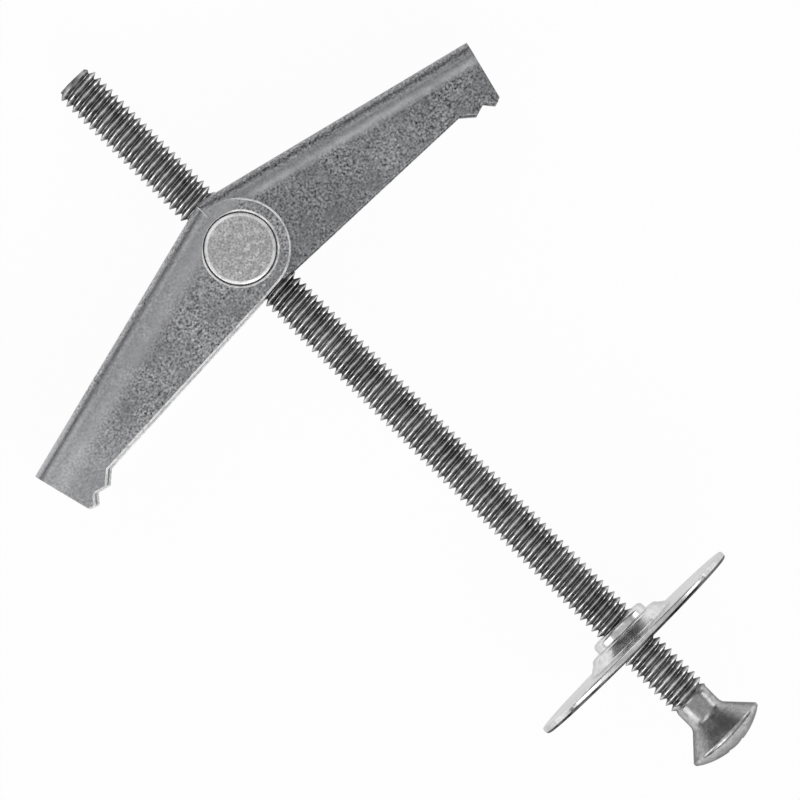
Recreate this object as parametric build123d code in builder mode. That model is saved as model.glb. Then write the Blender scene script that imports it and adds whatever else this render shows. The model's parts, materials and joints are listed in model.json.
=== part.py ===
from build123d import *
from math import asin, atan, cos, degrees, sin, sqrt, tan, tau
import os

# Spring toggle bolt, M4 x 80, lying at rest with its wings open.
# Every piece is drawn on one plane, "bolt": its x runs across the wings, its y along the screw
# towards the tip, and its z along the pivot of the wings. Its origin is the middle of the pivot.

# ---------------------------------------------------------------- driving dimensions, mm

# Screw: distances along it are reaches from the pivot
screw_length = 80.0
thread_radius = 1.94
tip_reach = 20.7
tip_chamfer = 0.5
neck_radius = 1.72
neck_length = 1.7
neck_fillet = 0.9
head_radius = 3.8
cone_height = 2.2
rim_height = 0.3
dome_height = 1.2
recess_span = 4.0
recess_width = 0.95
recess_core = 1.7
recess_depth = 2.3
recess_taper = 14.0

# Washer with a cup that takes the countersunk head
washer_radius = 10.95
washer_thickness = 0.7
washer_reach = 47.85
cup_base_radius = 4.6
cup_shoulder_radius = 3.95
cup_shoulder_height = 1.05
lip_radius = 2.86
lip_height = 1.9
hole_radius = 2.25
seat_radius = 4.35
seat_height = 1.95
washer_edge_fillet = 0.15
cup_fillet = 0.45

# Nut: a barrel between the wings' ears, with a spigot at each end as their pivot
barrel_radius = 3.4
barrel_half_length = 3.9
spigot_radius = 3.12
spigot_stand_out = 0.05
spigot_chamfer = 0.42
bore_radius = 2.0

# Wings: stamped channels, open towards the head of the screw
sheet = 0.8
bend_radius = 1.4
wing_gap = 0.25
pivot_clearance = 0.1
outer_half_width = 5.9
spine_at_pivot = 5.3
corner_out = 26.4
corner_along = -1.35
stop_gap = 0.08
outer_ear_radius = 4.4
inner_ear_radius = 4.1
heel_out = 1.2
heel_along = -4.5
toothed_edge = [(21.5, -5.4), (22.65, -6.4), (23.8, -6.05), (24.5, -6.9), (25.05, -6.75)]
inner_rise = 0.17
screw_notch_radius = 2.4

# Torsion spring round the barrel, with a coil on each side of the screw
wire_radius = 0.275
coil_radius = 3.9
coil_pitch = 0.58
coil_turns = 2
bridge_place = 2.43
leg_length = 8.5
bridge_bend = 0.9

# ---------------------------------------------------------------- values worked out from them

inner_half_width = outer_half_width - sheet - wing_gap
ear_hole_radius = spigot_radius + pivot_clearance
head_reach = screw_length - tip_reach
spine_slope = (spine_at_pivot - corner_along) / corner_out
spine_angle = atan(spine_slope)

# It lies on the washer's rim and on the outer wing's lower bend, where the bend meets the flat
# side. That line crosses the middle of the bolt this far from the pivot.
bend_line = spine_at_pivot - bend_radius / cos(spine_angle)
pitch = atan((washer_radius - outer_half_width) / (washer_reach + bend_line))
roll = asin(spine_slope * tan(pitch))
pivot_height = outer_half_width * cos(pitch) * cos(roll) + bend_line * sin(pitch)
full_head_reach = head_reach + rim_height + dome_height
tip_edge_rise = (thread_radius - tip_chamfer) * sin(pitch)
pivot_offset = ((full_head_reach - tip_reach) * cos(pitch) - tip_edge_rise) / 2

bolt = Plane((0, pivot_offset, pivot_height)).rotated((-degrees(pitch), -degrees(roll), 0))
screw_axis = Axis(bolt.origin, bolt.y_dir)


def square_to_screw(along):
    """The plane across the screw at this place along it, facing the tip."""
    return Plane(bolt.from_local_coords((0, along, 0)), x_dir=bolt.x_dir, z_dir=bolt.y_dir)


# ---------------------------------------------------------------- screw

head_rim_along = -head_reach
cone_start = head_rim_along + cone_height
thread_start = cone_start + neck_length
dome_start = head_rim_along - rim_height
dome_top = -full_head_reach
dome_sphere = (head_radius**2 + dome_height**2) / (2 * dome_height)

with BuildPart() as screw:
    with BuildSketch(bolt):
        with BuildLine():
            Polyline(
                (0, dome_top),
                (0, tip_reach),
                (thread_radius - tip_chamfer, tip_reach),
                (thread_radius, tip_reach - tip_chamfer),
                (thread_radius, thread_start),
                (neck_radius, thread_start - (thread_radius - neck_radius)),
                (neck_radius, cone_start),
                (head_radius, head_rim_along),
                (head_radius, dome_start),
            )
            RadiusArc((head_radius, dome_start), (0, dome_top), dome_sphere)
        make_face()
    revolve(axis=screw_axis)
    neck_corner = bolt.from_local_coords((neck_radius, cone_start, 0))
    fillet(screw.edges().filter_by(GeomType.CIRCLE).sort_by_distance(neck_corner)[0], radius=neck_fillet)
    # Cross recess for the driver
    with BuildSketch(square_to_screw(dome_top)):
        Rectangle(recess_span, recess_width, rotation=45)
        Rectangle(recess_span, recess_width, rotation=-45)
        Rectangle(recess_core, recess_core)
    extrude(amount=recess_depth, taper=recess_taper, mode=Mode.SUBTRACT)

# ---------------------------------------------------------------- washer

wall_face = -washer_reach
head_face = wall_face - washer_thickness

with BuildPart() as washer:
    with BuildSketch(bolt):
        with BuildLine():
            Polyline(
                (washer_radius, head_face),
                (washer_radius, wall_face),
                (cup_base_radius, wall_face),
                (cup_shoulder_radius, wall_face + cup_shoulder_height),
                (lip_radius, wall_face + cup_shoulder_height),
                (lip_radius, wall_face + lip_height),
                (hole_radius, wall_face + lip_height),
                (hole_radius, head_face + seat_height),
                (seat_radius, head_face),
                close=True,
            )
        make_face()
    revolve(axis=screw_axis)
    base_corner = bolt.from_local_coords((cup_base_radius, wall_face, 0))
    shoulder_corner = bolt.from_local_coords((cup_shoulder_radius, wall_face + cup_shoulder_height, 0))
    fillet(washer.edges().filter_by(GeomType.CIRCLE).sort_by_distance(base_corner)[0], radius=cup_fillet)
    fillet(washer.edges().filter_by(GeomType.CIRCLE).sort_by_distance(shoulder_corner)[0], radius=cup_fillet)
    fillet(washer.edges().filter_by(GeomType.CIRCLE).group_by(SortBy.RADIUS)[-1], radius=washer_edge_fillet)

# ---------------------------------------------------------------- trunnion nut

with BuildPart() as trunnion_nut:
    with BuildSketch(bolt):
        Circle(spigot_radius)
    extrude(amount=outer_half_width + spigot_stand_out, both=True)
    end_faces = trunnion_nut.faces().filter_by(GeomType.PLANE)
    chamfer(end_faces.edges().filter_by(GeomType.CIRCLE), length=spigot_chamfer)
    with BuildSketch(bolt):
        Circle(barrel_radius)
    extrude(amount=barrel_half_length, both=True)
    with BuildSketch(square_to_screw(0)):
        Circle(bore_radius)
    extrude(amount=barrel_radius, both=True, mode=Mode.SUBTRACT)

# ---------------------------------------------------------------- wings


def spine_along(out, rise):
    """How far along the screw the outside of a spine is, at this distance out from the screw."""
    return spine_at_pivot + rise - spine_slope * out


def wing_side(side, ear_radius, rise):
    """One wing seen along its pivot: ear, open edge, teeth, end and spine.

    side is -1 or 1. rise is how much further along the screw its spine and teeth stand.
    """
    ear_top = sqrt(ear_radius**2 - stop_gap**2)
    with BuildLine() as outline:
        Line((side * stop_gap, spine_along(stop_gap, rise)), (side * stop_gap, ear_top))
        ThreePointArc((side * stop_gap, ear_top), (-side * ear_radius, 0), (0, -ear_radius))
        Polyline(
            (0, -ear_radius),
            (side * heel_out, heel_along),
            *[(side * out, along + rise) for out, along in toothed_edge],
            (side * corner_out, corner_along + rise),
            (side * stop_gap, spine_along(stop_gap, rise)),
        )
    return outline.edges()


def channel_inside(side, rise):
    """The room under a wing's spine, drawn past the ear, the open edge and the end."""
    far = 2 * corner_out
    under_spine = sheet / cos(spine_angle)
    with BuildLine() as outline:
        Polyline(
            (-side * far, spine_along(-far, rise) - under_spine),
            (side * far, spine_along(far, rise) - under_spine),
            (side * far, -far),
            (-side * far, -far),
            close=True,
        )
    return outline.edges()


def bends(wing, side, half_width, depth, rise):
    """The two long edges of a wing's spine that lie this deep under its outside."""
    out = side * corner_out / 2
    along = spine_along(corner_out / 2, rise) - depth / cos(spine_angle)
    places = [bolt.from_local_coords((out, along, z)) for z in (half_width, -half_width)]
    return [wing.edges().sort_by_distance(place)[0] for place in places]


outer_side = wing_side(-1, outer_ear_radius, 0)
outer_inside = channel_inside(-1, 0)
inner_side = wing_side(1, inner_ear_radius, inner_rise)
inner_inside = channel_inside(1, inner_rise)

with BuildPart() as outer_wing:
    with BuildSketch(bolt):
        make_face(outer_side)
    extrude(amount=outer_half_width, both=True)
    fillet(bends(outer_wing, -1, outer_half_width, 0, 0), radius=bend_radius)
    with BuildSketch(bolt):
        make_face(outer_inside)
    extrude(amount=outer_half_width - sheet, both=True, mode=Mode.SUBTRACT)
    outer_inner_bends = bends(outer_wing, -1, outer_half_width - sheet, sheet, 0)
    fillet(outer_inner_bends, radius=bend_radius - sheet)
    with BuildSketch(bolt):
        Circle(ear_hole_radius)
    extrude(amount=outer_half_width, both=True, mode=Mode.SUBTRACT)
    with BuildSketch(square_to_screw(0)):
        Circle(screw_notch_radius)
    extrude(amount=2 * spine_at_pivot, mode=Mode.SUBTRACT)

with BuildPart() as inner_wing:
    with BuildSketch(bolt):
        make_face(inner_side)
    extrude(amount=inner_half_width, both=True)
    fillet(bends(inner_wing, 1, inner_half_width, 0, inner_rise), radius=bend_radius)
    with BuildSketch(bolt):
        make_face(inner_inside)
    extrude(amount=inner_half_width - sheet, both=True, mode=Mode.SUBTRACT)
    inner_inner_bends = bends(inner_wing, 1, inner_half_width - sheet, sheet, inner_rise)
    fillet(inner_inner_bends, radius=bend_radius - sheet)
    with BuildSketch(bolt):
        Circle(ear_hole_radius)
    extrude(amount=inner_half_width, both=True, mode=Mode.SUBTRACT)
    with BuildSketch(square_to_screw(0)):
        Circle(screw_notch_radius)
    extrude(amount=2 * spine_at_pivot, mode=Mode.SUBTRACT)

# ---------------------------------------------------------------- torsion spring

# Each coil starts where its bridge leg leaves it, under the inner wing's spine, and winds out
# along the pivot until it reaches the direction of the outer wing's spine.
coil_start = bolt.from_local_coords((sin(spine_angle), cos(spine_angle), 0)) - bolt.origin
coil_plane = Plane(bolt.origin, x_dir=coil_start, z_dir=bolt.z_dir).offset(bridge_place)
coil_sweep = 2 * spine_angle
turns = coil_turns + coil_sweep / tau
coil_height = coil_pitch * turns
lean = coil_pitch / (tau * coil_radius)
coil_end = Vector(coil_radius * cos(coil_sweep), coil_radius * sin(coil_sweep), coil_height)
free_leg = Vector(-sin(coil_sweep), cos(coil_sweep), lean) * leg_length
bridge_corner = (coil_radius, -leg_length, -leg_length * lean)
bridge_middle = (coil_radius, -leg_length, -bridge_place)

with BuildLine() as wire_line:
    FilletPolyline(bridge_middle, bridge_corner, (coil_radius, 0, 0), radius=bridge_bend)
    Helix(pitch=coil_pitch, height=coil_height, radius=coil_radius)
    Line(coil_end, coil_end + free_leg)
wire_path = coil_plane * wire_line.line

with BuildPart() as torsion_spring:
    with BuildSketch(Plane(origin=wire_path @ 0, z_dir=wire_path % 0)):
        Circle(wire_radius)
    sweep(path=wire_path)
    mirror(about=bolt)

# ---------------------------------------------------------------- labels and files

screw.part.label = "screw"
washer.part.label = "washer"
trunnion_nut.part.label = "trunnion_nut"
outer_wing.part.label = "outer_wing"
inner_wing.part.label = "inner_wing"
torsion_spring.part.label = "torsion_spring"

os.makedirs("parts", exist_ok=True)
export_step(screw.part, "parts/screw.step")
export_step(washer.part, "parts/washer.step")
export_step(trunnion_nut.part, "parts/trunnion_nut.step")
export_step(outer_wing.part, "parts/outer_wing.step")
export_step(inner_wing.part, "parts/inner_wing.step")
export_step(torsion_spring.part, "parts/torsion_spring.step")
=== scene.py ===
import json
from math import acos, atan, ceil, cos, hypot, pi, radians, sin, sqrt, tan, tau

import bmesh
import bpy
from bpy.props import FloatProperty, FloatVectorProperty, IntProperty, PointerProperty
from mathutils import Matrix, Vector


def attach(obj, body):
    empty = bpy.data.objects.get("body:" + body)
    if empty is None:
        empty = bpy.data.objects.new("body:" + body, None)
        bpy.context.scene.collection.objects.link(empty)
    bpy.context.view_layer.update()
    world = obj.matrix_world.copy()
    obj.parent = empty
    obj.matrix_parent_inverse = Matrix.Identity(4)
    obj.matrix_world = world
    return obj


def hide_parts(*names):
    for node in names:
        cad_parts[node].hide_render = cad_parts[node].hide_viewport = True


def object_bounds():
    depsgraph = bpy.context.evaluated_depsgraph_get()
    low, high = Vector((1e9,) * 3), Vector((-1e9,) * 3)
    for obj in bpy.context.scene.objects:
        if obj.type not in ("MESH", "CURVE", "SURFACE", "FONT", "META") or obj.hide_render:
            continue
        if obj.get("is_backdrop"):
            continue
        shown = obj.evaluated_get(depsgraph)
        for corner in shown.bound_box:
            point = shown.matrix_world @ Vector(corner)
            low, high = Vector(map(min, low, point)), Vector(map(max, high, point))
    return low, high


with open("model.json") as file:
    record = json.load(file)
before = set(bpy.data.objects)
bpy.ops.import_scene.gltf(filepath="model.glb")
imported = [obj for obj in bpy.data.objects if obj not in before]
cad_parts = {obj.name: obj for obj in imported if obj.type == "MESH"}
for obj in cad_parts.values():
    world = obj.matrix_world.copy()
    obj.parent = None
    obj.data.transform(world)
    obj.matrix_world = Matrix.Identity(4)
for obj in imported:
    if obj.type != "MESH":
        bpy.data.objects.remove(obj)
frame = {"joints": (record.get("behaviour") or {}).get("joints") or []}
cad_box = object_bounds()

bl_info = {
    "name": "Spring Toggle Bolt",
    "version": (1, 0, 0),
    "blender": (4, 5, 0),
    "location": "View3D > Sidebar > Toggle Bolt",
    "description": "Builds an M4 spring toggle bolt round its packed frame",
    "category": "Object",
}

MM = 0.001
JOINTS = {joint["name"]: joint for joint in frame["joints"]}
MERGE = 0.002 * MM  # vertices closer than this are one
UV_UNIT = 10 * MM  # one unit of a blank's UV map

# ------------------------------------------------------------------ the bolt's own axes


def bolt_axes():
    """x across the wings, y along the screw to its tip, z along the pivot, from the pivot's middle."""
    along = Vector(JOINTS["washer_slide"]["axis"]).normalized()
    pin = Vector(JOINTS["outer_wing_fold"]["axis"]).normalized()
    across = along.cross(pin).normalized()
    turned = Matrix((across, along, across.cross(along))).transposed().to_4x4()
    return Matrix.Translation(JOINTS["outer_wing_fold"]["pos_m"]) @ turned


BOLT = bolt_axes()
TO_BOLT = BOLT.inverted()

# ------------------------------------------------------------------ settings


def length(name, description, default):
    """A size in metres that shows in the panel in the scene's own unit."""
    return FloatProperty(name=name, description=description, default=default, min=0, unit="LENGTH")


def count(name, description, default):
    """A whole number of parts."""
    return IntProperty(name=name, description=description, default=default, min=1)


def colour(name, description, default):
    """A colour in linear light, with a swatch in the panel."""
    return FloatVectorProperty(
        name=name, description=description, default=default, size=3, min=0, max=1, subtype="COLOR"
    )


class ScrewSettings(bpy.types.PropertyGroup):
    crest: length("Crest radius", "Radius over the thread's crests", 1.93 * MM)
    root: length("Root radius", "Radius at the bottom of the thread", 1.45 * MM)
    pitch: length("Pitch", "Distance from one thread to the next", 0.7 * MM)
    tip: length("Tip reach", "From the pivot to the tip", 20.7 * MM)
    tip_chamfer: length("Tip chamfer", "Length of the bevelled end of the thread", 0.6 * MM)
    size: length("Length", "From the head's rim to the tip", 80 * MM)
    neck: length("Neck radius", "Radius of the smooth neck under the head", 1.72 * MM)
    neck_length: length("Neck length", "Length of the smooth neck", 1.7 * MM)
    run_out: length("Run-out", "Length over which the thread fades into the neck", 0.9 * MM)
    neck_fillet: length("Neck fillet", "Radius between the neck and the cone", 0.9 * MM)
    head: length("Head radius", "Radius of the head's rim", 3.8 * MM)
    cone: length("Cone height", "Height of the countersunk cone", 2.2 * MM)
    rim: length("Rim height", "Height of the head's rim", 0.3 * MM)
    dome: length("Dome height", "Height of the raised top", 1.2 * MM)
    recess_span: length("Recess span", "Width of the cross recess at the top", 4.0 * MM)
    recess_width: length("Recess slot", "Width of each arm of the recess", 0.95 * MM)
    recess_depth: length("Recess depth", "Depth from the top of the dome", 2.2 * MM)
    steps: count("Steps a turn", "Flats in one turn of the thread", 44)


class WasherSettings(bpy.types.PropertyGroup):
    radius: length("Radius", "Outer radius", 10.93 * MM)
    thickness: length("Thickness", "Thickness of the sheet", 0.7 * MM)
    reach: length("Reach", "From the pivot to the face that meets the wall", 47.85 * MM)
    cup: length("Cup radius", "Radius of the cup where it leaves the disc", 4.6 * MM)
    shoulder: length("Shoulder radius", "Radius of the cup's top", 3.95 * MM)
    shoulder_height: length("Shoulder height", "Height of the cup's top over the disc", 1.05 * MM)
    lip: length("Lip radius", "Outer radius of the lip round the hole", 2.86 * MM)
    lip_height: length("Lip height", "Height of the lip over the disc", 1.9 * MM)
    hole: length("Hole radius", "Radius of the hole", 2.27 * MM)
    seat: length("Seat radius", "Radius of the dished seat at the head's side", 4.35 * MM)
    seat_height: length("Seat height", "Depth of the dished seat", 1.95 * MM)


class NutSettings(bpy.types.PropertyGroup):
    barrel: length("Barrel radius", "Radius between the wings", 3.39 * MM)
    barrel_half: length("Barrel half length", "From the middle to a shoulder", 3.89 * MM)
    spigot: length("Spigot radius", "Radius of each pivot end", 3.11 * MM)
    spigot_half: length("Spigot half length", "From the middle to an end face", 5.94 * MM)
    chamfer: length("End rounding", "Rounding of each end face", 0.42 * MM)
    bore: length("Bore radius", "Radius of the hole for the screw", 2.0 * MM)


class WingSettings(bpy.types.PropertyGroup):
    sheet: length("Sheet", "Thickness of the sheet", 0.8 * MM)
    bend: length("Bend radius", "Outer radius of the bends along the spine", 1.4 * MM)
    outer_half: length("Outer half width", "Half the width of the outer wing", 5.89 * MM)
    inner_half: length("Inner half width", "Half the width of the inner wing", 4.84 * MM)
    spine: length("Spine at the pivot", "From the pivot to the line of the spine", 5.3 * MM)
    corner_out: length("Corner reach", "From the screw's axis to the outer corner", 26.4 * MM)
    corner_drop: length("Corner drop", "From the pivot's height down to the outer corner", 1.35 * MM)
    stop_gap: length("Stop gap", "From the screw's axis to the end of the spine", 0.08 * MM)
    outer_ear: length("Outer ear", "Radius of the outer wing's ears", 4.4 * MM)
    inner_ear: length("Inner ear", "Radius of the inner wing's ears", 4.1 * MM)
    ear_hole: length("Ear hole", "Radius of the holes for the nut", 3.22 * MM)
    notch: length("Notch", "Radius of the notch that clears the screw", 2.4 * MM)
    rise: length("Inner rise", "How much further along the screw the inner wing's spine stands", 0.17 * MM)
    edge: length("Edge rounding", "Rounding along the cut edges", 0.18 * MM)


class SpringSettings(bpy.types.PropertyGroup):
    wire: length("Wire radius", "Radius of the spring wire", 0.275 * MM)
    coil: length("Coil radius", "Radius of the coils at the wire's middle", 3.9 * MM)
    pitch: length("Coil pitch", "Distance from one turn to the next", 0.58 * MM)
    turns: count("Turns", "Full turns in each coil", 2)
    bridge_place: length("Bridge place", "From the middle to the bridge leg", 2.43 * MM)
    leg: length("Leg length", "Length of each straight leg", 8.5 * MM)
    bridge_bend: length("Bridge bend", "Radius of the bridge's corners", 0.9 * MM)


class FinishSettings(bpy.types.PropertyGroup):
    screw_colour: colour("Screw", "Colour of the plated screw", (0.46, 0.46, 0.46))
    washer_colour: colour("Washer", "Colour of the plated washer", (0.76, 0.76, 0.76))
    # A dark colour on the washer's head-side edge: painted shade in place of a dark reflection
    washer_shade_colour: colour("Washer painted shade", "Colour of the painted shade on the washer's head-side edge", (0.22, 0.22, 0.22))
    nut_colour: colour("Nut", "Colour of the plated nut", (0.60, 0.60, 0.60))
    outer_colour: colour("Outer wing", "Colour of the plated outer wing", (0.40, 0.402, 0.412))
    inner_colour: colour("Inner wing", "Colour of the plated inner wing", (0.31, 0.312, 0.322))
    # Near white on rounded edges: a painted highlight where the edges catch light
    edge_highlight_colour: colour("Painted edge highlights", "Colour of the painted highlight on the wings' and the nut's rounded edges", (0.93, 0.93, 0.93))
    spring_colour: colour("Spring", "Colour of the spring wire", (0.34, 0.34, 0.345))
    floor_colour: colour("Floor", "Colour of the floor", (0.95, 0.95, 0.95))
    room_colour: colour("Room", "Colour of the room over the floor", (0.56, 0.56, 0.56))
    horizon_colour: colour("Horizon", "Colour of the room low down, at the floor", (0.06, 0.06, 0.06))


class StageSettings(bpy.types.PropertyGroup):
    view_width: length("View width", "Width that the camera takes in at the bolt", 69.4 * MM)
    view_distance: length("View distance", "From the bolt to the camera", 0.8)
    view_across: length("View across", "From the pivot to the view's middle, across", 0.52 * MM)
    view_along: length("View along", "From the pivot to the view's middle, towards the head", 18.95 * MM)
    floor_size: length("Floor size", "Radius of the floor", 0.16)
    lamp_distance: length("Lamp distance", "From the bolt to each lamp", 0.9)
    lamp_size: length("Lamp size", "Side of each square lamp", 0.6)
    lamp_power: FloatProperty(
        name="Lamp power", description="Power of each lamp", default=2.2, min=0, unit="POWER"
    )


class ToggleBoltSettings(bpy.types.PropertyGroup):
    screw: PointerProperty(type=ScrewSettings, name="Screw", description="Sizes of the screw")
    washer: PointerProperty(type=WasherSettings, name="Washer", description="Sizes of the washer")
    nut: PointerProperty(type=NutSettings, name="Nut", description="Sizes of the nut")
    wing: PointerProperty(type=WingSettings, name="Wings", description="Sizes of the wings")
    spring: PointerProperty(type=SpringSettings, name="Spring", description="Sizes of the spring")
    finish: PointerProperty(type=FinishSettings, name="Finish", description="Colours")
    stage: PointerProperty(type=StageSettings, name="Stage", description="Camera, floor and lamps")


# ------------------------------------------------------------------ mesh helpers

ALONG_SCREW = Vector((0, 1, 0))
ALONG_PIN = Vector((0, 0, 1))
FLATS_FIRST = 90  # how far large faces outweigh small ones in the shading, of 100


def arc(centre, radius, start, end, steps):
    """Points along an arc in a profile, from one angle to another."""
    turns = [start + (end - start) * i / steps for i in range(steps + 1)]
    return [(centre[0] + radius * cos(t), centre[1] + radius * sin(t)) for t in turns]


def chain(bm, points, closed=False):
    """New vertices joined by edges in order."""
    verts = [bm.verts.new(point) for point in points]
    pairs = list(zip(verts, verts[1:]))
    if closed:
        pairs.append((verts[-1], verts[0]))
    return verts, [bm.edges.new(pair) for pair in pairs]


def turn(bm, profile, axis, steps):
    """Turn a profile of (radius, height) points a full turn about one of the bolt's axes."""
    points = [Vector((radius, 0, 0)) + axis * height for radius, height in profile]
    verts, edges = chain(bm, points)
    bmesh.ops.spin(
        bm, geom=verts + edges, cent=(0, 0, 0), axis=axis, angle=tau, steps=steps, use_merge=True
    )


def clean(bm):
    """Merge doubled vertices, drop empty faces and point every face outwards."""
    bmesh.ops.remove_doubles(bm, verts=bm.verts, dist=MERGE)
    bmesh.ops.dissolve_degenerate(bm, edges=bm.edges, dist=MERGE)
    bmesh.ops.recalc_face_normals(bm, faces=bm.faces)


def to_object(bm, name):
    """A new object at the origin with this mesh, moved to the bolt's place in the frame."""
    bm.transform(BOLT)
    mesh = bpy.data.meshes.new(name)
    bm.to_mesh(mesh)
    bm.free()
    piece = bpy.data.objects.new(name, mesh)
    bpy.context.scene.collection.objects.link(piece)
    return piece


def finished_mesh(source):
    """A new mesh with the shape that an object has once its modifiers or its curve's depth are applied."""
    bpy.context.view_layer.update()
    evaluated = source.evaluated_get(bpy.context.evaluated_depsgraph_get())
    return bpy.data.meshes.new_from_object(evaluated)


def apply_modifiers(piece):
    """Swap a piece's mesh for the one its modifiers make."""
    mesh = finished_mesh(piece)
    old = piece.data
    piece.modifiers.clear()
    piece.data = mesh
    bpy.data.meshes.remove(old)
    mesh.name = piece.name


def cut(piece, cutter):
    """Take the cutter's shape out of the piece."""
    modifier = piece.modifiers.new("cut", "BOOLEAN")
    modifier.operation = "DIFFERENCE"
    modifier.solver = "EXACT"
    modifier.object = cutter
    apply_modifiers(piece)
    mesh = cutter.data
    bpy.data.objects.remove(cutter)
    bpy.data.meshes.remove(mesh)


def round_edges(piece, width, angle, weigh, segments, profile, material):
    """Round the edges that are sharper than an angle, and give the rounded faces their own material.

    weigh gives each such edge's share of the width.
    """
    bm = bmesh.new()
    bm.from_mesh(piece.data)
    share = bm.edges.layers.float.new("bevel_weight_edge")
    for edge in bm.edges:
        if edge.calc_face_angle(0.0) > angle:
            edge[share] = weigh(edge)
    bm.to_mesh(piece.data)
    bm.free()
    modifier = piece.modifiers.new("edges", "BEVEL")
    modifier.width = width
    modifier.segments = segments
    modifier.profile = profile
    modifier.limit_method = "WEIGHT"
    modifier.use_clamp_overlap = False
    modifier.miter_outer = "MITER_ARC"
    modifier.material = material
    apply_modifiers(piece)


def paint(piece, chosen):
    """Give the second material to the faces that a test picks by their middle and normal.

    Both are in the bolt's axes.
    """
    turned = TO_BOLT.to_3x3()
    for face in piece.data.polygons:
        face.material_index = int(chosen(TO_BOLT @ face.center, turned @ face.normal))


def finish(piece, materials, slot, body, node, sharp=radians(35), flats=False):
    """Give a piece its surfaces, attach it to the body that it moves with and hide the CAD node that it
    stands for.

    flats keeps the shading of flat sides flat up to their rounded edges.
    """
    mesh = piece.data
    looks = [face.material_index for face in mesh.polygons]
    mesh.materials.clear()
    for name in materials:
        mesh.materials.append(surface(name))
    mesh.polygons.foreach_set("material_index", [min(look, len(materials) - 1) for look in looks])
    mesh.polygons.foreach_set("use_smooth", [True] * len(mesh.polygons))
    mesh.set_sharp_from_angle(angle=sharp)
    mesh.update()
    if flats:
        modifier = piece.modifiers.new("flats", "WEIGHTED_NORMAL")
        modifier.keep_sharp = True
        modifier.weight = FLATS_FIRST
        apply_modifiers(piece)
    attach(piece, body)
    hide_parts(node)


def eased(value):
    """0 below 0, 1 above 1 and a smooth step between."""
    value = min(max(value, 0.0), 1.0)
    return value * value * (3 - 2 * value)


# ------------------------------------------------------------------ shader groups


def new_group(name, inputs, outputs):
    """An empty shader node group with its sockets: name to (type, default), and name to type."""
    group = bpy.data.node_groups.new(name, "ShaderNodeTree")
    for socket, (kind, default) in inputs.items():
        item = group.interface.new_socket(socket, in_out="INPUT", socket_type="NodeSocket" + kind)
        item.default_value = default
    for socket, kind in outputs.items():
        group.interface.new_socket(socket, in_out="OUTPUT", socket_type="NodeSocket" + kind)
    return group, group.nodes.new("NodeGroupInput"), group.nodes.new("NodeGroupOutput")


def bare_tree(holder):
    """The emptied node tree of a new material or world."""
    holder.use_nodes = True
    holder.node_tree.nodes.clear()
    return holder.node_tree


def feed(tree, node, values):
    """Set a node's sockets, each to a plain value or to the output that drives it."""
    for key, value in values.items():
        if isinstance(value, bpy.types.NodeSocket):
            tree.links.new(value, node.inputs[key])
        else:
            node.inputs[key].default_value = value
    return node


def add(tree, kind, values=None, **settings):
    """A new node with its own settings and the values of its sockets."""
    node = tree.nodes.new("ShaderNode" + kind)
    for key, value in settings.items():
        setattr(node, key, value)
    return feed(tree, node, values or {})


def spread(tree, source, low, high, to_low=0.0, to_high=1.0):
    """Stretch a value from one range to another and stop at its ends."""
    values = {0: source, 1: low, 2: high, 3: to_low, 4: to_high}
    return add(tree, "MapRange", values, clamp=True).outputs[0]


def maths(tree, operation, a, b):
    """What an operation makes of two values, each a number or an output."""
    return add(tree, "Math", {0: a, 1: b}, operation=operation).outputs[0]


def product(tree, a, b):
    """One value or mask times another."""
    return maths(tree, "MULTIPLY", a, b)


def total(tree, first, *others):
    """The sum of some values or masks."""
    for other in others:
        first = maths(tree, "ADD", first, other)
    return first


def mottle_group():
    """Clouds, grain and specks of tumbled zinc plating: tone, roughness change and height.

    Cloud, Grain and Specks set how strong each is, and the scales how small.
    """
    group, given, result = new_group(
        "zinc mottle",
        {
            "Cloud Scale": ("Float", 500.0),
            "Grain Scale": ("Float", 6000.0),
            "Cloud": ("Float", 0.3),
            "Grain": ("Float", 0.5),
            "Specks": ("Float", 0.5),
            "Vector": ("Vector", (0, 0, 0)),
        },
        {"Tone": "Float", "Rough": "Float", "Height": "Float"},
    )
    vector, coarse, fine = (given.outputs[name] for name in ("Vector", "Cloud Scale", "Grain Scale"))

    def noise(scale, detail, roughness):
        """A noise pattern's value."""
        values = {"Vector": vector, "Scale": scale, "Detail": detail, "Roughness": roughness}
        return add(group, "TexNoise", values).outputs["Fac"]

    def dots(size, heart, edge):
        """Small round marks, 1 at their hearts, at a share of the grain's scale."""
        cells = add(group, "TexVoronoi", {"Vector": vector, "Scale": product(group, fine, size)})
        return spread(group, cells.outputs["Distance"], heart, edge, 1.0, 0.0)

    cloud, grain = noise(coarse, 5.0, 0.6), noise(fine, 2.0, 0.55)
    # Dark pits lie on the thick of the clouds and light nicks between them
    pit = product(group, dots(0.5, 0.14, 0.36), spread(group, cloud, 0.42, 0.6))
    nick = product(group, dots(0.37, 0.08, 0.22), spread(group, cloud, 0.44, 0.58, 1.0, 0.0))
    clouds = spread(group, cloud, 0.3, 0.7, -1.0, 1.0)
    grains = spread(group, grain, 0.3, 0.7, -1.0, 1.0)
    grains = product(group, grains, spread(group, cloud, 0.36, 0.6, 0.45, 1.1))
    specks = maths(group, "SUBTRACT", nick, product(group, pit, 0.6))
    tone = total(
        group,
        product(group, clouds, given.outputs["Cloud"]),
        product(group, grains, given.outputs["Grain"]),
        product(group, specks, given.outputs["Specks"]),
    )
    feed(group, result, {"Tone": tone, "Rough": clouds, "Height": maths(group, "SUBTRACT", grain, pit)})


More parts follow.
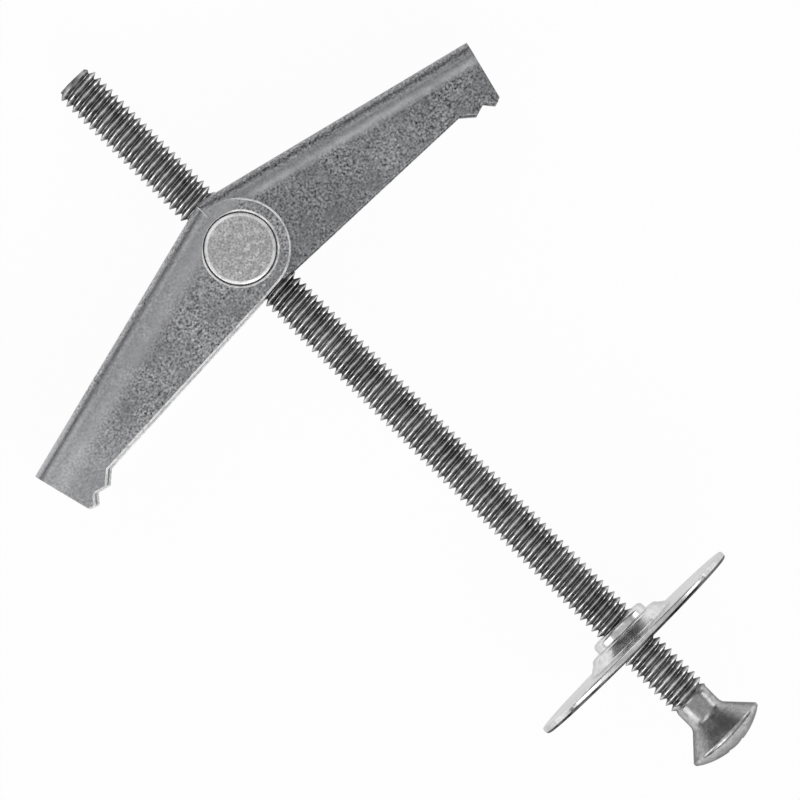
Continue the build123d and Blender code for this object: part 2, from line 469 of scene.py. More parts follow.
def marks_group():
    """Where the wings' tools rubbed the sheet: a light band along each bend, a paler end and a scuffed patch.

    All of them follow the blank's own UV map. Tone is 0 where nothing rubbed, and Calm is 1 where the
    mottle is rubbed smooth.
    """
    group, given, result = new_group(
        "forming marks",
        {
            "UV": ("Vector", (0, 0, 0)),
            "Bend": ("Float", 0.6),
            "Band": ("Float", 0.05),
            "Band Tone": ("Float", 0.5),
            "End": ("Float", 2.3),
            "End Tone": ("Float", 0.3),
            "End Calm": ("Float", 0.5),
            "Patch": ("Vector", (1.66, 0.87, 0)),
            "Patch Tone": ("Float", 0.3),
        },
        {"Tone": "Float", "Calm": "Float"},
    )
    uv = given.outputs["UV"]
    place = add(group, "SeparateXYZ", {"Vector": uv})
    across = maths(group, "ABSOLUTE", place.outputs["Y"], 0.0)
    # How far past the bend a point lies, in widths of the band, and the band with its wavering tone
    past = maths(group, "SUBTRACT", across, given.outputs["Bend"])
    past = maths(group, "DIVIDE", past, given.outputs["Band"])
    far_side = spread(group, past, 0.2, 1.3, 1.0, 0.0)
    waver = add(group, "TexNoise", {"Vector": uv, "Scale": 6.0, "Detail": 4.0}).outputs["Fac"]
    band = product(group, spread(group, past, -1.3, -0.2), far_side)
    band = product(group, band, spread(group, waver, 0.3, 0.6, 0.5, 1.0))
    end = maths(group, "SUBTRACT", place.outputs["X"], given.outputs["End"])
    end = spread(group, end, -0.45, 0.05)
    away = add(group, "VectorMath", {0: uv, 1: given.outputs["Patch"]}, operation="DISTANCE")
    near = spread(group, away.outputs["Value"], 0.05, 0.36, 1.0, 0.0)
    streaks = {"Vector": uv, "Scale": 22.0, "Detail": 3.0, "Distortion": 1.5}
    scuffs = add(group, "TexNoise", streaks).outputs["Fac"]
    patch = product(group, near, spread(group, scuffs, 0.45, 0.62))
    tone = total(
        group,
        product(group, band, given.outputs["Band Tone"]),
        product(group, end, given.outputs["End Tone"]),
        product(group, patch, given.outputs["Patch Tone"]),
    )
    # The mottle is calm from just inside the bend to the far side of the band, and at the end
    beside = product(group, spread(group, past, -2.6, -1.8), far_side)
    calm = maths(group, "MAXIMUM", beside, product(group, end, given.outputs["End Calm"]))
    feed(group, result, {"Tone": tone, "Calm": calm})


def plated(name, tint, roughness, mottle, marks=None, shade_and_highlight=None, bump=0.25, rim=1.0):
    """Zinc-plated steel.

    mottle holds the mottle group's sockets. marks holds the forming marks' sockets, for a piece
    with the blank's UV map. The tones for the roots and for the crests paint shade into the thread's
    roots and a highlight onto its crests and the head's dome, for a piece with the crest attribute.
    rim is how bright a side seen edge-on stays.
    """
    calmed, rough_swing, deep = 0.35, 0.12, 0.02 * MM
    groups = bpy.data.node_groups
    tree = bare_tree(bpy.data.materials.new(name))
    coords = add(tree, "TexCoord").outputs
    speckle = add(
        tree, "Group", {**mottle, "Vector": coords["Object"]}, node_tree=groups["zinc mottle"]
    ).outputs
    shade = speckle["Tone"]
    if marks:
        rubbed = add(
            tree, "Group", {**marks, "UV": coords["UV"]}, node_tree=groups["forming marks"]
        ).outputs
        shade = product(tree, shade, spread(tree, rubbed["Calm"], 0.0, 1.0, 1.0, calmed))
        shade = total(tree, shade, rubbed["Tone"])
    shade = total(tree, shade, 1.0)
    # Painted shade in the thread's roots and a painted highlight on its crests and the head's dome, by the
    # crest attribute
    if shade_and_highlight:
        crest = add(tree, "Attribute", attribute_name="crest").outputs["Fac"]
        shade = product(tree, shade, spread(tree, crest, 0.25, 0.95, *shade_and_highlight))
    scaled = add(tree, "VectorMath", {0: tint, "Scale": shade}, operation="SCALE")
    bumped = add(tree, "Bump", {"Strength": bump, "Distance": deep, "Height": speckle["Height"]})
    metal = {
        "Base Color": scaled.outputs["Vector"],
        "Metallic": 1.0,
        "Roughness": total(tree, product(tree, speckle["Rough"], rough_swing), roughness),
        "Specular Tint": (rim, rim, rim, 1),
        "Normal": bumped.outputs["Normal"],
    }
    add(tree, "OutputMaterial", {"Surface": add(tree, "BsdfPrincipled", metal).outputs["BSDF"]})


def spots(cloud_scale, grain_scale, cloud, grain, specks):
    """The mottle group's sockets, by name."""
    return dict(zip(
        ("Cloud Scale", "Grain Scale", "Cloud", "Grain", "Specks"),
        (cloud_scale, grain_scale, cloud, grain, specks),
    ))


def rubs(half_width, bend, band, band_tone=0.0, end_tone=0.0, patch_tone=0.0, end_calm=0.0):
    """The forming marks' sockets, by name, for a wing with this half width and bend radius."""
    return {
        "Bend": (half_width + bend * (pi / 2 - 1)) / UV_UNIT + band * 0.9,
        "Band": band,
        "Band Tone": band_tone,
        "End Tone": end_tone,
        "Patch Tone": patch_tone,
        "End Calm": end_calm,
    }


def make_surfaces(bolt):
    """All the bolt's materials."""
    mottle_group()
    marks_group()
    tints, wing = bolt.finish, bolt.wing
    screw_spots = spots(500.0, 3000.0, 0.2, 0.25, 0.3)
    washer_spots = spots(420.0, 2400.0, 0.14, 0.14, 0.35)
    washer_shade_spots = spots(260.0, 1400.0, 0.9, 0.3, 0.4)
    nut_spots = spots(1700.0, 5200.0, 0.2, 0.5, 0.35)
    wing_spots = spots(330.0, 4800.0, 0.16, 0.85, 0.8)
    wing_edge_spots = spots(500.0, 3000.0, 0.3, 0.3, 0.2)
    nut_edge_spots = spots(700.0, 3000.0, 0.25, 0.2, 0.1)
    wire_spots = spots(900.0, 3000.0, 0.2, 0.2, 0.1)
    outer_marks = rubs(wing.outer_half, wing.bend, 0.09, band_tone=0.35, end_tone=0.2, end_calm=0.9)
    inner_marks = rubs(wing.inner_half, wing.bend, 0.04, band_tone=0.95, patch_tone=0.7)
    # Each finish has its colour, its roughness and its spots
    # The screw's roots carry painted shade, and its crests and dome a painted highlight
    plated("screw plating", tints.screw_colour, 0.27, screw_spots, shade_and_highlight=(0.68, 1.9), bump=0.12, rim=0.3)
    plated("washer plating", tints.washer_colour, 0.24, washer_spots, bump=0.15, rim=0.7)
    # The washer's head-side edge is painted dark, painted shade in place of a dark reflection
    plated("washer edge painted shade", tints.washer_shade_colour, 0.3, washer_shade_spots, rim=0.3)
    plated("nut plating", tints.nut_colour, 0.4, nut_spots, bump=0.3)
    plated("outer wing plating", tints.outer_colour, 0.4, wing_spots, outer_marks, bump=0.2)
    plated("inner wing plating", tints.inner_colour, 0.4, wing_spots, inner_marks, bump=0.2)
    # The wings' and the nut's rounded edges are painted near white, a painted highlight
    plated("wing edge painted highlight", tints.edge_highlight_colour, 0.66, wing_edge_spots, bump=0.1)
    plated("nut edge painted highlight", tints.edge_highlight_colour, 0.4, nut_edge_spots, bump=0.1)
    plated("spring wire", tints.spring_colour, 0.28, wire_spots, bump=0.1)


def surface(name):
    """One of the bolt's materials, made with all the others the first time that it is asked for."""
    if name not in bpy.data.materials:
        make_surfaces(bpy.context.scene.toggle_bolt)
    return bpy.data.materials[name]


# ------------------------------------------------------------------ screw


def thread_profile(screw):
    """One pitch of the thread as (radius, height) points, from root to root."""
    crest, root = screw.crest, screw.root
    soft = (crest - root) * 0.12
    rising = [(root, 0.0), (root, 0.05), (root + soft, 0.11), (crest - soft, 0.40), (crest, 0.45)]
    falling = [(radius, 1 - share) for radius, share in reversed(rising)]
    return [(radius, share * screw.pitch) for radius, share in rising + falling]


def add_thread(bm, screw, start, end):
    """A right-hand helical thread from start to the chamfered tip, closed over at the tip."""
    first = start - screw.pitch
    points = [Vector((radius, first + height, 0)) for radius, height in thread_profile(screw)]
    verts, edges = chain(bm, points)
    rise = ALONG_SCREW * screw.pitch / screw.steps
    bmesh.ops.spin(
        bm, geom=verts + edges, cent=(0, 0, 0), axis=ALONG_SCREW, dvec=rise, angle=tau, steps=screw.steps
    )
    one_turn = bm.verts[:] + bm.edges[:] + bm.faces[:]
    for i in range(1, ceil((end - start) / screw.pitch) + 2):
        copy = bmesh.ops.duplicate(bm, geom=one_turn)["geom"]
        moved = [item for item in copy if isinstance(item, bmesh.types.BMVert)]
        bmesh.ops.translate(bm, verts=moved, vec=ALONG_SCREW * screw.pitch * i)
    bmesh.ops.remove_doubles(bm, verts=bm.verts, dist=MERGE)
    # The ends: the thread fades into the neck at one and is bevelled down to its root at the other.
    # What lies past an end closes up into that end's ring.
    tip_radius = screw.root - 0.02 * MM
    for vert in bm.verts:
        radius = hypot(vert.co.x, vert.co.z)
        past_start = (vert.co.y - start) / screw.run_out
        wanted = screw.neck + (radius - screw.neck) * eased(past_start)
        to_tip = max(end - vert.co.y, 0.0) / screw.tip_chamfer
        wanted = min(wanted, tip_radius + (screw.crest - tip_radius) * to_tip)
        vert.co.x *= wanted / radius
        vert.co.z *= wanted / radius
        vert.co.y = min(max(vert.co.y, start), end)
    bmesh.ops.remove_doubles(bm, verts=bm.verts, dist=MERGE)
    tip_edges = [edge for edge in bm.edges if edge.is_boundary and edge.verts[0].co.y > end - MERGE]
    bmesh.ops.edgeloop_fill(bm, edges=tip_edges)


def head_profile(screw, start, rim):
    """The neck, the cone, the rim and the raised top as (radius, height) points."""
    slope = atan((screw.head - screw.neck) / screw.cone)
    reach = screw.neck_fillet
    centre = (screw.neck + reach, rim + screw.cone + reach * tan(slope / 2))
    fillet = arc(centre, reach, pi, pi + slope, 8)
    sphere = (screw.head**2 + screw.dome**2) / (2 * screw.dome)
    top = rim - screw.rim
    dome_angle = acos((sphere - screw.dome) / sphere)
    dome = arc((0, top - screw.dome + sphere), sphere, -pi / 2 + dome_angle, -pi / 2, 18)
    # The rim's edges are eased, and the dome's first two points give way to the ease
    ease = 0.07 * MM
    edge = [
        (screw.head - ease, rim + ease),
        (screw.head, rim),
        (screw.head, top + ease),
        (screw.head - ease, top - ease * 0.4),
    ]
    return [(screw.neck, start)] + fillet + edge + dome[2:]


def cross_cutter(screw, top):
    """A tapered cross, to cut the driver's recess."""
    bm = bmesh.new()
    span, width = screw.recess_span / 2, screw.recess_width / 2
    waist = width * 1.75
    taper, over = 0.42, 0.5 * MM
    corners = [(span, -width), (span, width), (waist, width), (width, waist)]
    points = []
    for quarter in range(4):
        swing = Matrix.Rotation((quarter + 0.5) * pi / 2, 2)
        points += [swing @ Vector(corner) for corner in corners]
    _, edges = chain(bm, [(point.x, top - over, point.y) for point in points], closed=True)
    face = bmesh.ops.edgeloop_fill(bm, edges=edges)["faces"]
    wall = bmesh.ops.extrude_face_region(bm, geom=face)["geom"]
    deep = [item for item in wall if isinstance(item, bmesh.types.BMVert)]
    for vert in deep:
        vert.co.y += screw.recess_depth + over
        vert.co.x *= taper
        vert.co.z *= taper
    clean(bm)
    return to_object(bm, "recess cutter")


def mark_painted_tones(piece, screw, start):
    """Keep each point's painted tone: 0 at the thread's root for painted shade, 1 at its crest for a painted
    highlight, and set values on the head, lighter on the rim and dome than on the cone and neck.
    """
    # The rim and dome get a painted highlight, lighter than the cone and neck, where light falls on the dome
    on_dome, on_neck = 0.58, 0.42
    dome_end = screw.tip - screw.size + 0.05 * MM
    crest = piece.data.attributes.new("crest", "FLOAT", "POINT")
    for vert, item in zip(piece.data.vertices, crest.data):
        place = TO_BOLT @ vert.co
        height = (hypot(place.x, place.z) - screw.root) / (screw.crest - screw.root)
        threaded = start + screw.run_out * 0.6 < place.y < screw.tip - MERGE
        smooth = on_dome if place.y < dome_end else on_neck
        item.value = min(max(height, 0.0), 1.0) if threaded else smooth


class TOGGLE_OT_screw(bpy.types.Operator):
    """Builds the screw with its thread, head and driver's recess"""

    bl_idname = "toggle_bolt.screw"
    bl_label = "Screw"

    def execute(self, context):
        screw = context.scene.toggle_bolt.screw
        rim = screw.tip - screw.size
        start = rim + screw.cone + screw.neck_length
        bm = bmesh.new()
        add_thread(bm, screw, start, screw.tip)
        turn(bm, head_profile(screw, start, rim), ALONG_SCREW, screw.steps)
        clean(bm)
        piece = to_object(bm, "screw_body")
        cut(piece, cross_cutter(screw, rim - screw.rim - screw.dome))
        mark_painted_tones(piece, screw, start)
        finish(piece, ["screw plating"], "screw_steel", "screw", "screw", radians(42))
        return {"FINISHED"}


# ------------------------------------------------------------------ washer


class TOGGLE_OT_washer(bpy.types.Operator):
    """Builds the washer with its pressed cup"""

    bl_idname = "toggle_bolt.washer"
    bl_label = "Washer"

    def execute(self, context):
        washer = context.scene.toggle_bolt.washer
        wall = -washer.reach
        head = wall - washer.thickness
        top = wall + washer.shoulder_height
        lip = wall + washer.lip_height
        # Radii: the rim's two edges, the cup's bends, the lip's small bends and its rolled top. The rounded
        # edge at the head's side is where the painted shade goes
        rim, shade_round = washer.thickness * 0.3, washer.thickness * 0.45
        soft, nib, roll, ease = 0.45 * MM, 0.12 * MM, 0.38 * MM, 0.1 * MM
        profile = (
            arc((washer.radius - shade_round, head + shade_round), shade_round, -pi / 2, 0, 7)
            + arc((washer.radius - rim, wall - rim), rim, 0, pi / 2, 5)
            + arc((washer.cup + soft, wall + soft), soft, -pi / 2, -pi * 0.82, 5)
            + arc((washer.shoulder - soft, top - soft), soft, pi * 0.12, pi / 2, 6)
            + arc((washer.lip + nib, top + nib), nib, -pi / 2, -pi, 4)
            + arc((washer.lip - roll, lip - roll), roll, 0, pi / 2, 6)
            + arc((washer.hole + nib, lip - nib), nib, pi / 2, pi, 4)
            + [(washer.hole, head + washer.seat_height)]
            + [(washer.seat - ease, head + ease), (washer.seat + ease, head)]
        )
        profile.append(profile[0])
        bm = bmesh.new()
        turn(bm, profile, ALONG_SCREW, 128)
        clean(bm)
        piece = to_object(bm, "washer_body")

        # The rounded edge at the head's side is painted dark: painted shade
        def on_shaded_edge(middle, normal):
            """On the rounded edge at the head's side, between the flat face and the rim, where the dark
            colour is painted shade.
            """
            outer = hypot(middle.x, middle.z) > washer.radius - shade_round * 1.2
            return outer and -0.97 < normal.y < -0.15

        paint(piece, on_shaded_edge)
        looks = ["washer plating", "washer edge painted shade"]
        finish(piece, looks, "washer_steel", "washer", "washer", flats=True)
        return {"FINISHED"}


# ------------------------------------------------------------------ nut


def bore_cutter(nut):
    """A rod that flares at the barrel's surface, to cut the screw's hole with its bevelled mouths."""
    reach = nut.barrel * 1.2
    mouth = 0.25 * MM
    edge = sqrt(nut.barrel**2 - nut.bore**2)
    flare = nut.bore + mouth + reach - edge
    hole = [(0, -reach), (flare, -reach), (nut.bore, mouth - edge)]
    bm = bmesh.new()
    turn(bm, hole + [(radius, -height) for radius, height in reversed(hole)], ALONG_SCREW, 64)
    clean(bm)
    return to_object(bm, "bore cutter")


class TOGGLE_OT_nut(bpy.types.Operator):
    """Builds the trunnion nut that the wings turn on"""

    bl_idname = "toggle_bolt.nut"
    bl_label = "Trunnion nut"

    def execute(self, context):
        nut = context.scene.toggle_bolt.nut
        # Each end is a flat, then a worn shoulder that slopes gently, then a tight round to the side
        end, bevel, soft = nut.spigot_half, nut.chamfer * 0.7, 0.06 * MM
        tight, shoulder = bevel * 0.4, radians(20)
        drop = tight + (bevel - tight) * tan(shoulder)
        half = [
            (0.0, end),
            (nut.spigot - bevel - soft, end),
            (nut.spigot - bevel, end - soft * 0.1),
            *arc((nut.spigot - tight, end - drop), tight, pi / 2 - shoulder, 0, 5),
            (nut.spigot, nut.barrel_half),
            (nut.barrel - soft, nut.barrel_half),
            (nut.barrel, nut.barrel_half - soft),
        ]
        bm = bmesh.new()
        turn(bm, half + [(radius, -height) for radius, height in reversed(half)], ALONG_PIN, 96)
        clean(bm)
        piece = to_object(bm, "nut_body")
        cut(piece, bore_cutter(nut))

        def on_highlight_edge(middle, normal):
            """On an end's shoulder or its round, but not on its flat or on the side: the faces with a painted
            highlight.
            """
            return abs(middle.z) > end - bevel and 0.2 < abs(normal.z) < 0.99

        paint(piece, on_highlight_edge)
        looks = ["nut plating", "nut edge painted highlight"]
        finish(piece, looks, "nut_steel", "nut", "trunnion_nut", flats=True)
        return {"FINISHED"}


# ------------------------------------------------------------------ wings

# The cut edge of a wing's side, as (out, up) in millimetres from the pivot: the heel below the ear and
# the teeth at the far end
HEEL = (1.2, -4.5)
TOOTHED_EDGE = [(21.5, -5.4), (22.65, -6.4), (23.8, -6.05), (24.5, -6.9), (25.05, -6.75)]


class Wing:
    """One wing as a flat blank, and the fold that makes a channel of it.

    In the blank, s runs along the spine from the screw's axis and u across it. In the side view, out
    runs away from the screw and up along it, and depth is how far a point lies under the spine.
    """

    def __init__(self, settings, side, half_width, ear, rise):
        self.settings = settings
        self.side = side
        self.ear = ear
        self.rise = rise
        self.spine = settings.spine + rise
        self.flat = half_width - settings.bend
        slope = (settings.spine + settings.corner_drop) / settings.corner_out
        self.angle = atan(slope)
        self.bend_length = settings.bend * pi / 2

    def depth(self, out, up):
        """How far a point of the side view lies under the spine."""
        return (self.spine - up) * cos(self.angle) - out * sin(self.angle)

    def blank_point(self, out, up):
        """A point of the side view in the blank."""
        s = out * cos(self.angle) + (self.spine - up) * sin(self.angle)
        return self.unrolled(s, self.depth(out, up))

    def unrolled(self, s, depth):
        """The point of the blank that comes to lie this far along the spine and this deep under it."""
        bend = self.settings.bend
        if depth >= bend:
            return s, self.flat + self.bend_length + depth - bend
        return s, self.flat + bend * acos(1 - max(depth, 0.0) / bend)

    def folded(self, s, u):
        """A point of the blank as it stands in the channel, in the bolt's axes."""
        bend = self.settings.bend
        around = abs(u) - self.flat
        if around <= 0:
            depth, width = 0.0, abs(u)
        elif around < self.bend_length:
            depth = bend * (1 - cos(around / bend))
            width = self.flat + bend * sin(around / bend)
        else:
            depth = bend + around - self.bend_length
            width = self.flat + bend
        out = s * cos(self.angle) - depth * sin(self.angle)
        up = self.spine - s * sin(self.angle) - depth * cos(self.angle)
        return Vector((self.side * out, up, width if u > 0 else -width))

    def apex_edge(self, depth):
        """The upright end of the spine beside the screw's axis."""
        gap = self.settings.stop_gap
        return (gap + depth * sin(self.angle)) / cos(self.angle)

    def half_outline(self):
        """The blank's outline on one side of its middle, from the screw's notch to the far end."""
        settings = self.settings
        depths = [settings.bend * (1 - cos(step * pi / 12)) for step in range(7)]
        notch_top = sqrt(settings.notch**2 - settings.stop_gap**2)
        notch = arc((0, 0), settings.notch, 0, acos(settings.stop_gap / settings.notch), 14)
        points = [(across / cos(self.angle), width) for across, width in notch[:-1]]
        points.append((self.apex_edge(0), notch_top))
        points += [self.unrolled(self.apex_edge(depth), depth) for depth in depths]
        ear_top = acos(-settings.stop_gap / self.ear)
        around = arc((0, 0), self.ear, pi - ear_top, 3 * pi / 2, 30)
        points += [self.blank_point(out, up) for out, up in around]
        points.append(self.blank_point(HEEL[0] * MM, HEEL[1] * MM))
        points += [self.blank_point(out * MM, up * MM + self.rise) for out, up in TOOTHED_EDGE]
        corner_s, _ = self.blank_point(settings.corner_out, self.rise - settings.corner_drop)
        last_s, last_u = points[-1]
        last_depth = last_u - self.flat - self.bend_length + settings.bend
        slant = (last_s - corner_s) / last_depth
        points += [self.unrolled(corner_s + slant * depth, depth) for depth in reversed(depths)]
        points.append((corner_s, 0.0))
        return points

    def channel(self):
        """The blank with its two ear holes and its own UV map, folded along the bends, without thickness."""
        upper = self.half_outline()
        lower = [(s, -u) for s, u in reversed(upper[1:-1])]
        bm = bmesh.new()
        chain(bm, [(s, u, 0) for s, u in upper + lower], closed=True)
        pivot_s, pivot_u = self.blank_point(0, 0)
        for across in (pivot_u, -pivot_u):
            hole = arc((pivot_s, across), self.settings.ear_hole, 0, tau, 72)[:-1]
            chain(bm, [(s, u, 0) for s, u in hole], closed=True)
        bmesh.ops.triangle_fill(bm, edges=bm.edges, use_beauty=True)
        bmesh.ops.dissolve_limit(bm, angle_limit=radians(1), verts=bm.verts, edges=bm.edges)
        # Fold lines through the bends, and one close beside each bend that keeps its flat side flat
        steps, beside = 12, 0.06 * MM
        folds = [self.flat - beside, self.flat + self.bend_length + beside]
        folds += [self.flat + self.bend_length * i / steps for i in range(steps + 1)]
        for place in folds + [-place for place in folds]:
            whole = bm.verts[:] + bm.edges[:] + bm.faces[:]
            bmesh.ops.bisect_plane(
                bm, geom=whole, dist=1e-4 * MM, plane_co=(0, place, 0), plane_no=(0, 1, 0)
            )
        blank_map = bm.loops.layers.uv.new("blank")
        for face in bm.faces:
            for loop in face.loops:
                loop[blank_map].uv = loop.vert.co.xy / UV_UNIT
        for vert in bm.verts:
            vert.co = self.folded(vert.co.x, vert.co.y)
        bmesh.ops.recalc_face_normals(bm, faces=bm.faces)
        upward = sum(face.normal.y * face.calc_area() for face in bm.faces)
        if upward < 0:
            bmesh.ops.reverse_faces(bm, faces=bm.faces)
        return bm

    def build(self, name, wear):
        """The channel with its sheet's thickness and its cut edges, worn round by a share."""
        settings = self.settings
        piece = to_object(self.channel(), name)
        # Two places for materials: the sheet's faces and its cut edges, which carry the outer wing's painted
        # highlight
        piece.data.materials.append(None)
        piece.data.materials.append(None)
        thick = piece.modifiers.new("sheet", "SOLIDIFY")
        thick.thickness = settings.sheet
        thick.offset = -1
        thick.use_even_offset = True
        thick.material_offset_rim = 1
        apply_modifiers(piece)
        least, clear_of_bend, ramp = 0.15, 0.5 * MM, 1.2 * MM
        inside = self.flat + settings.bend - settings.sheet * 1.05

        def weigh(edge):
            """Full wear low on the channel's sides, and the least near the spine, where cuts lie close."""
            shares = []
            for vert in edge.verts:
                out, up, across = TO_BOLT @ vert.co
                below = self.depth(out * self.side, up) - settings.bend - clear_of_bend
                shares.append(eased(below / ramp) if abs(across) > inside else 0.0)
            return least + (wear - least) * min(shares)

        round_edges(piece, settings.edge, radians(50), weigh, segments=4, profile=0.7, material=1)
        return piece


class TOGGLE_OT_wings(bpy.types.Operator):
    """Builds the outer and the inner wing"""

    bl_idname = "toggle_bolt.wings"
    bl_label = "Wings"

    def execute(self, context):
        wing = context.scene.toggle_bolt.wing
        outer = Wing(wing, -1, wing.outer_half, wing.outer_ear, 0.0)
        inner = Wing(wing, 1, wing.inner_half, wing.inner_ear, wing.rise)
        for name, sheet, wear, looks in (
            # The outer wing's cut edges get a painted highlight
            ("outer_wing", outer, 1.0, ["outer wing plating", "wing edge painted highlight"]),
            ("inner_wing", inner, 0.45, ["inner wing plating", "inner wing plating"]),
        ):
            piece = sheet.build(name + "_sheet", wear)
            finish(piece, looks, "wing_steel", name, name, radians(50), flats=True)
        return {"FINISHED"}


# ------------------------------------------------------------------ spring


def wire(name, points, radius):
    """A round wire through these points in the bolt's axes, as a closed mesh."""
    curve = bpy.data.curves.new(name, "CURVE")
    curve.dimensions = "3D"
    curve.bevel_depth = radius
    curve.bevel_resolution = 5
    curve.use_fill_caps = True
    spline = curve.splines.new("POLY")
    spline.points.add(len(points) - 1)
    for point, place in zip(spline.points, points):
        point.co = (*(BOLT @ Vector(place)), 1)
    drawn = bpy.data.objects.new(name + " curve", curve)
    bpy.context.scene.collection.objects.link(drawn)
    mesh = finished_mesh(drawn)
    bpy.data.objects.remove(drawn)
    bpy.data.curves.remove(curve)
    bm = bmesh.new()
    bm.from_mesh(mesh)
    clean(bm)
    bm.to_mesh(mesh)
    bm.free()
    mesh.name = name
    piece = bpy.data.objects.new(name, mesh)
    bpy.context.scene.collection.objects.link(piece)
    return piece


class TOGGLE_OT_spring(bpy.types.Operator):
    """Builds the torsion spring: legs that follow the wings, and coils round the nut"""

    bl_idname = "toggle_bolt.spring"
    bl_label = "Torsion spring"

    def execute(self, context):
        bolt = context.scene.toggle_bolt
        spring = bolt.spring
        spine = Wing(bolt.wing, 1, bolt.wing.inner_half, bolt.wing.inner_ear, 0.0).angle
        first = pi / 2 - spine
        last = pi / 2 + spine + tau * spring.turns
        middle = (first + last) / 2
        quarter, steps_a_turn = pi / 2, 48
        lean = spring.pitch / (tau * spring.coil)

        def on_coil(turned, mirror):
            height = spring.bridge_place + spring.pitch * (turned - first) / tau
            return spring.coil * cos(turned), spring.coil * sin(turned), height * mirror

        def coil(start, end, mirror):
            steps = ceil((end - start) / tau * steps_a_turn)
            return [on_coil(start + (end - start) * i / steps, mirror) for i in range(steps + 1)]

        def beyond(turned, distance, mirror):
            """A point on the straight leg that leaves the coil at this angle."""
            x, y, z = on_coil(turned, mirror)
            return x - sin(turned) * distance, y + cos(turned) * distance, z + lean * distance * mirror

        for mirror, label in ((1, "top"), (-1, "under")):
            outer = coil(middle, last, mirror) + [beyond(last, spring.leg, mirror)]
            piece = wire("spring_outer_" + label, outer, spring.wire)
            finish(piece, ["spring wire"], "spring_steel", "outer_wing", "torsion_spring")
            # A link of slightly thinner wire inside the joint between the two wings' sections
            link = coil(middle - quarter, middle + quarter, mirror)
            piece = wire("spring_link_" + label, link, spring.wire * 0.97)
            finish(piece, ["spring wire"], "spring_steel", "nut", "torsion_spring")
        # The inner wing's legs, joined by the bridge, with the first part of both coils
        bend = spring.bridge_bend
        leg = Vector(beyond(first, bend - spring.leg, 1))
        away = Vector((sin(first), -cos(first), 0))
        corner = [
            leg + away * sideways + ALONG_PIN * (inwards - bend)
            for inwards, sideways in arc((0, 0), bend, 0, quarter, 8)
        ]
        half = list(reversed(coil(first, middle, 1))) + corner
        whole = half + [(x, y, -z) for x, y, z in reversed(half)]
        piece = wire("spring_bridge", whole, spring.wire)
        finish(piece, ["spring wire"], "spring_steel", "inner_wing", "torsion_spring")
        return {"FINISHED"}


# ------------------------------------------------------------------ stage


def floor_material(floor_colour):
    """A pale floor that renders near white to the camera and in reflections, and keeps a soft shadow."""
    material = bpy.data.materials.new("pale floor")
    tree = bare_tree(material)
    paths = add(tree, "LightPath").outputs
    mirrored = maths(tree, "MAXIMUM", paths["Is Glossy Ray"], paths["Is Transmission Ray"])
    seen = maths(tree, "MAXIMUM", paths["Is Camera Ray"], mirrored)
    matt = add(tree, "BsdfDiffuse", {"Color": (*floor_colour, 1)})
    glow = add(tree, "Emission", {"Color": (1, 1, 1, 1), "Strength": 1.0})
    # The small matt part that is left keeps the shadow
    parts = {0: product(tree, seen, 0.96), 1: matt.outputs[0], 2: glow.outputs[0]}
    add(tree, "OutputMaterial", {"Surface": add(tree, "MixShader", parts).outputs[0]})
    return material


def room_world(room_colour, horizon_colour):
    """A soft room that darkens towards the floor, and is white to the camera."""
    world = bpy.data.worlds.new("room")
    tree = bare_tree(world)
    direction = add(tree, "SeparateXYZ", {"Vector": add(tree, "TexCoord").outputs["Generated"]})
    height = spread(tree, direction.outputs["Z"], 0.15, 0.75)
    colours = {"Fac": height, "Color1": (*horizon_colour, 1), "Color2": (*room_colour, 1)}
    shade = add(tree, "MixRGB", colours).outputs[0]
    light = add(tree, "Background", {"Color": shade, "Strength": 1.0}).outputs[0]
    white = add(tree, "Background", {"Color": (1, 1, 1, 1), "Strength": 1.0}).outputs[0]
    seen = add(tree, "LightPath").outputs["Is Camera Ray"]
    mix = add(tree, "MixShader", {0: seen, 1: light, 2: white})
    add(tree, "OutputWorld", {"Surface": mix.outputs[0]})
    return world


def add_lamp(name, direction, distance, size, power):
    """A square lamp that faces the frame's origin from this direction."""
    data = bpy.data.lights.new(name, "AREA")
    data.shape = "SQUARE"
    data.size = size
    data.energy = power
    lamp = bpy.data.objects.new(name, data)
    lamp.location = direction.normalized() * distance
    lamp.rotation_euler = direction.to_track_quat("Z", "Y").to_euler()
    bpy.context.scene.collection.objects.link(lamp)


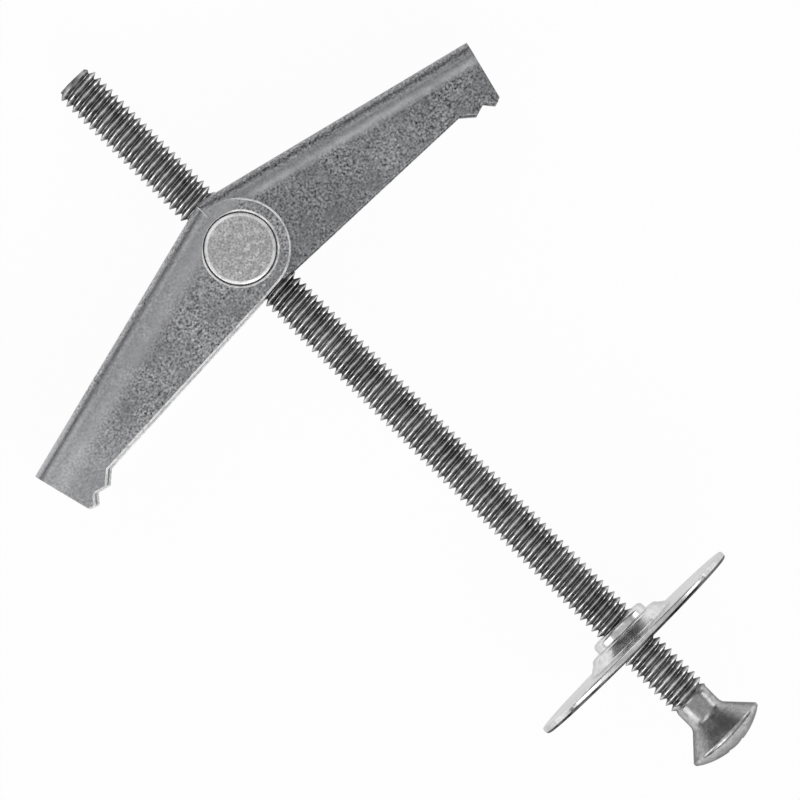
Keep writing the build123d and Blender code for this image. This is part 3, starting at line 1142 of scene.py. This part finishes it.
class TOGGLE_OT_stage(bpy.types.Operator):
    """Builds the floor, the lamps, the room's light and the camera"""

    bl_idname = "toggle_bolt.stage"
    bl_label = "Stage"

    def execute(self, context):
        scene = context.scene
        stage = scene.toggle_bolt.stage
        colours = scene.toggle_bolt.finish
        bm = bmesh.new()
        bmesh.ops.create_circle(bm, cap_ends=True, segments=64, radius=stage.floor_size)
        mesh = bpy.data.meshes.new("floor")
        bm.to_mesh(mesh)
        bm.free()
        mesh.materials.append(floor_material(colours.floor_colour))
        floor = bpy.data.objects.new("floor", mesh)
        scene.collection.objects.link(floor)
        floor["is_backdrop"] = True

        scene.world = room_world(colours.room_colour, colours.horizon_colour)

        across, along, pin = (BOLT.col[i].to_3d() for i in range(3))
        for name, direction, size, power in (
            ("lamp towards the tip", along + pin * 1.1, 1.0, 0.3),
            ("lamp towards the head", -along - across * 0.4 + pin * 0.8, 1.0, 0.9),
            ("lamp beside the outer wing", -across + pin * 0.45, 1.0, 0.85),
            ("lamp beside the inner wing", across + pin * 0.2, 0.6, 0.4),
        ):
            add_lamp(
                name, direction, stage.lamp_distance, stage.lamp_size * size, stage.lamp_power * power
            )

        data = bpy.data.cameras.new("camera")
        data.sensor_width = 36
        data.lens = data.sensor_width * stage.view_distance / stage.view_width
        data.clip_start = 0.01
        data.clip_end = 20
        camera = bpy.data.objects.new("camera", data)
        right, up = (across - along).normalized(), (across + along).normalized()
        turned = Matrix((right, up, pin)).transposed().to_4x4()
        middle = BOLT @ Vector((stage.view_across, -stage.view_along, 0))
        camera.matrix_world = Matrix.Translation(middle + pin * stage.view_distance) @ turned
        scene.collection.objects.link(camera)
        scene.camera = camera
        scene.view_settings.view_transform = "Standard"
        return {"FINISHED"}


# ------------------------------------------------------------------ panel and registration


class TOGGLE_PT_panel(bpy.types.Panel):
    """The bolt's pieces and settings in the 3D view's sidebar"""

    bl_idname = "TOGGLE_PT_panel"
    bl_label = "Spring Toggle Bolt"
    bl_space_type = "VIEW_3D"
    bl_region_type = "UI"
    bl_category = "Toggle Bolt"

    def draw(self, context):
        bolt = context.scene.toggle_bolt
        for operator, group in (
            (TOGGLE_OT_screw, bolt.screw),
            (TOGGLE_OT_washer, bolt.washer),
            (TOGGLE_OT_nut, bolt.nut),
            (TOGGLE_OT_wings, bolt.wing),
            (TOGGLE_OT_spring, bolt.spring),
            (TOGGLE_OT_stage, bolt.stage),
        ):
            box = self.layout.box()
            box.operator(operator.bl_idname)
            for name in group.__annotations__:
                box.prop(group, name)


CLASSES = (
    ScrewSettings,
    WasherSettings,
    NutSettings,
    WingSettings,
    SpringSettings,
    FinishSettings,
    StageSettings,
    ToggleBoltSettings,
    TOGGLE_OT_screw,
    TOGGLE_OT_washer,
    TOGGLE_OT_nut,
    TOGGLE_OT_wings,
    TOGGLE_OT_spring,
    TOGGLE_OT_stage,
    TOGGLE_PT_panel,
)


def register():
    for item in CLASSES:
        bpy.utils.register_class(item)
    bpy.types.Scene.toggle_bolt = PointerProperty(type=ToggleBoltSettings)


def unregister():
    del bpy.types.Scene.toggle_bolt
    for item in reversed(CLASSES):
        bpy.utils.unregister_class(item)


def main():
    register()
    bpy.ops.toggle_bolt.screw()
    bpy.ops.toggle_bolt.washer()
    bpy.ops.toggle_bolt.nut()
    bpy.ops.toggle_bolt.wings()
    bpy.ops.toggle_bolt.spring()
    bpy.ops.toggle_bolt.stage()
    sizes = {"cad": cad_box, "visual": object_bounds()}
    {name: [list(corner) for corner in box] for name, box in sizes.items()}


if __name__ == "__main__":
    main()
